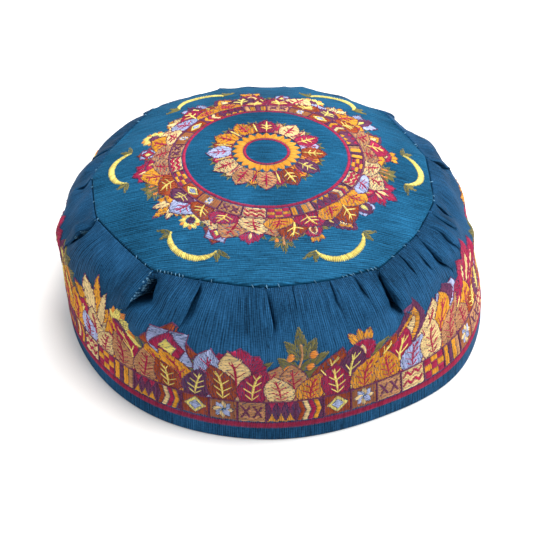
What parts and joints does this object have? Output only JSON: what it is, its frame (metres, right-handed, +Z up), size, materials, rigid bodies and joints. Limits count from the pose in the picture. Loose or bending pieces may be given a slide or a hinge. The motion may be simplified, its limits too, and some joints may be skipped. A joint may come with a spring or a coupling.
{
  "type": "embroidered cloth kippah skullcap",
  "caption": "Round cloth skullcap: a shallow domed crown panel sewn to a pleated side band, with raised thread borders on band and crown, open below for the head.",
  "frame": {"origin": "middle of the cap's box at the level of the rim, on the surface that it rests on", "axes": "+Z up through the crown, -Y towards the front, +X to the right of someone facing the front"},
  "size_m": [0.1884, 0.1854, 0.0814],
  "materials": {
    "crown_silk": "slubbed silk, satin sheen",
    "band_silk": "slubbed silk, satin sheen",
    "crimson_thread": "satin stitch",
    "tan_thread": "satin stitch",
    "gold_thread": "satin stitch"
  },
  "bodies": {
    "root": {"crown_panel": "crown_silk", "side_band": "band_silk", "hem_stripe": "crimson_thread", "band_border": "tan_thread", "crown_line": "crimson_thread", "crown_wreath": "tan_thread", "crown_rosette": "tan_thread", "sun_ring": "gold_thread", "centre_line": "crimson_thread"}
  },
  "joints": []
}
